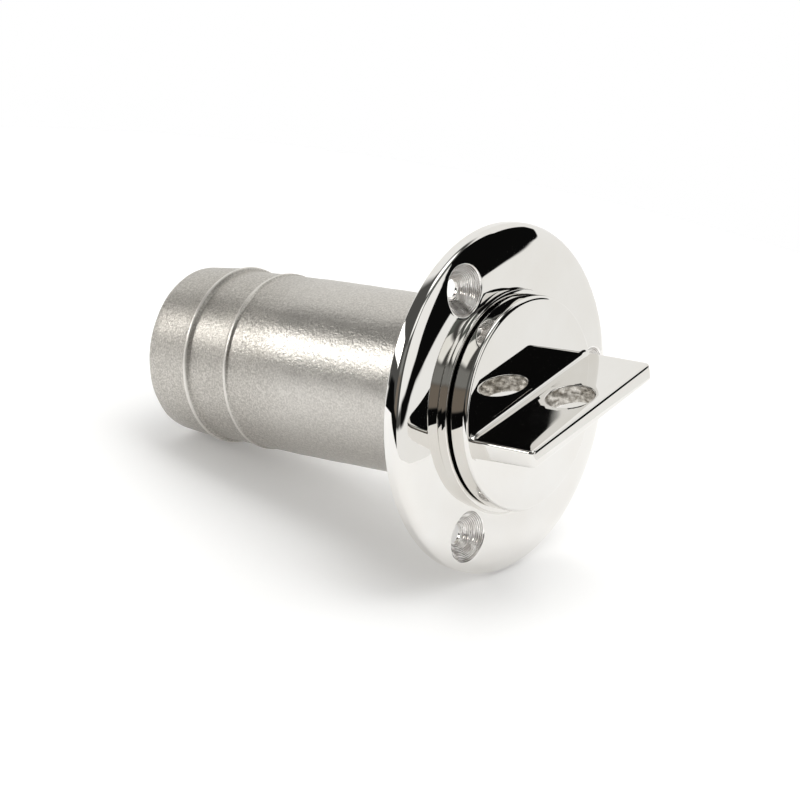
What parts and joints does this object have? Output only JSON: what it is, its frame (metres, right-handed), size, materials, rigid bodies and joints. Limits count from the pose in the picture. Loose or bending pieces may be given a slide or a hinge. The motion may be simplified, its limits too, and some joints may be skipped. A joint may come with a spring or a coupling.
{
  "type": "deck fill cap",
  "caption": "Boat deck filler: round polished flange with a straight barbed hose tail and a screw cap turned by a fin handle with a cross hole.",
  "frame": {"origin": "centre of the flange's underside, on the filler's axis, where the deck's surface is", "axes": "+Z out of the deck along the filler's axis, towards the cap; one of the three screw holes is on +Y"},
  "size_m": [0.095, 0.095, 0.1374],
  "materials": {
    "cast_stainless": "bead blasted casting with a mirror-polished front",
    "polished_stainless": "mirror polished",
    "seal_rubber": "black nitrile rubber",
    "chain_stainless": "bright drawn stainless"
  },
  "bodies": {
    "filler": {"filler_body": "cast_stainless"},
    "chain_swivel": {"swivel_tag": "chain_stainless"},
    "screw_cap": {"cap": "polished_stainless", "cap_seal_ring": "seal_rubber", "swivel_rivet": "chain_stainless", "swivel_washer": "chain_stainless"},
    "chain": {"chain_pin_01": "chain_stainless", "chain_pin_02": "chain_stainless", "chain_pin_03": "chain_stainless", "chain_pin_04": "chain_stainless", "chain_pin_05": "chain_stainless", "chain_pin_06": "chain_stainless", "chain_pin_07": "chain_stainless", "chain_pin_08": "chain_stainless", "chain_pin_09": "chain_stainless", "chain_pin_10": "chain_stainless", "chain_pin_11": "chain_stainless", "chain_bead_01": "chain_stainless", "chain_bead_02": "chain_stainless", "chain_bead_03": "chain_stainless", "chain_bead_04": "chain_stainless", "chain_bead_05": "chain_stainless", "chain_bead_06": "chain_stainless", "chain_bead_07": "chain_stainless", "chain_bead_08": "chain_stainless", "chain_bead_09": "chain_stainless", "chain_bead_10": "chain_stainless", "bar_clevis": "chain_stainless", "bar_pin": "chain_stainless"},
    "retaining_bar": {"toggle_bar": "chain_stainless"}
  },
  "joints": [
    {"name": "cap_lift", "type": "slide", "parent": "filler", "child": "chain_swivel", "axis": [0, 0, 1], "range_m": [0, 0.012]},
    {"name": "cap_turn", "type": "hinge", "parent": "chain_swivel", "child": "screw_cap", "pos_m": [0, 0, 0], "axis": [0, 0, 1], "range_deg": [0, 1080]},
    {"name": "chain_swing", "type": "hinge", "parent": "chain_swivel", "child": "chain", "pos_m": [0, 0, -0.00575], "axis": [0, 1, 0], "range_deg": [-4, 4]},
    {"name": "bar_tilt", "type": "hinge", "parent": "chain", "child": "retaining_bar", "pos_m": [0, 0, -0.072], "axis": [1, 0, 0], "range_deg": [-48, 48]}
  ],
  "couplings": [
    {"joint": "cap_lift", "follows": "cap_turn", "m_per_rad": 0.00063662}
  ]
}
